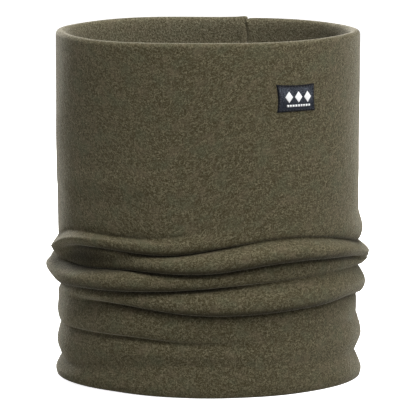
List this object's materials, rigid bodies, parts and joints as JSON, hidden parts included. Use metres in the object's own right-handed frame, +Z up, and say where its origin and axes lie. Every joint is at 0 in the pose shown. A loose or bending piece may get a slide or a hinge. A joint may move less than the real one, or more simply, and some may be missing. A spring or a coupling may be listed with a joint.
{
  "type": "neck gaiter",
  "caption": "Double-layer fleece neck gaiter, a soft tube for neck and lower face, slouched into rolls, with a woven label on the front.",
  "frame": {"origin": "middle of the bottom edge, on the surface the gaiter stands on", "axes": "+Z up through the opening, -Y towards the front, +X to the right seen from the front, where the label is"},
  "size_m": [0.186, 0.151, 0.202],
  "materials": {
    "fleece": "heathered olive fleece, short raised nap",
    "seam_thread": "olive overlock thread",
    "label_weave": "near black damask weave",
    "white_thread": "white woven thread",
    "satin": "off-white satin ribbon"
  },
  "bodies": {
    "lower": {"outer_layer_lower": "fleece", "inner_layer_lower": "fleece", "outer_back_seam_lower": "seam_thread", "inner_back_seam_lower": "seam_thread", "bottom_seam_thread": "seam_thread"},
    "roll_low": {"outer_layer_roll_low": "fleece", "inner_layer_roll_low": "fleece", "outer_back_seam_roll_low": "seam_thread", "inner_back_seam_roll_low": "seam_thread"},
    "roll_mid": {"outer_layer_roll_mid": "fleece", "inner_layer_roll_mid": "fleece", "outer_back_seam_roll_mid": "seam_thread", "inner_back_seam_roll_mid": "seam_thread"},
    "roll_high": {"outer_layer_roll_high": "fleece", "inner_layer_roll_high": "fleece", "outer_back_seam_roll_high": "seam_thread", "inner_back_seam_roll_high": "seam_thread"},
    "upper": {"folded_upper": "fleece", "back_seam_upper": "seam_thread", "woven_label": "label_weave", "label_stitching": "label_weave", "label_lozenge_left": "white_thread", "label_lozenge_middle": "white_thread", "label_lozenge_right": "white_thread", "label_bar": "white_thread"},
    "care_flap": {"care_label": "satin"}
  },
  "joints": [
    {"name": "pull_up", "type": "slide", "parent": "lower", "child": "upper", "axis": [0, 0, 1], "range_m": [0, 0.048]},
    {"name": "roll_high_lift", "type": "slide", "parent": "lower", "child": "roll_high", "axis": [0, 0, 1], "range_m": [0, 0.036]},
    {"name": "roll_mid_lift", "type": "slide", "parent": "lower", "child": "roll_mid", "axis": [0, 0, 1], "range_m": [0, 0.024]},
    {"name": "roll_low_lift", "type": "slide", "parent": "lower", "child": "roll_low", "axis": [0, 0, 1], "range_m": [0, 0.012]},
    {"name": "care_label_turn", "type": "hinge", "parent": "lower", "child": "care_flap", "pos_m": [0.02268, 0.061, 0.025], "axis": [0, 0, 1], "range_deg": [0, 144]}
  ],
  "couplings": [
    {"joint": "roll_high_lift", "follows": "pull_up", "ratio": 0.75},
    {"joint": "roll_mid_lift", "follows": "pull_up", "ratio": 0.5},
    {"joint": "roll_low_lift", "follows": "pull_up", "ratio": 0.25}
  ]
}
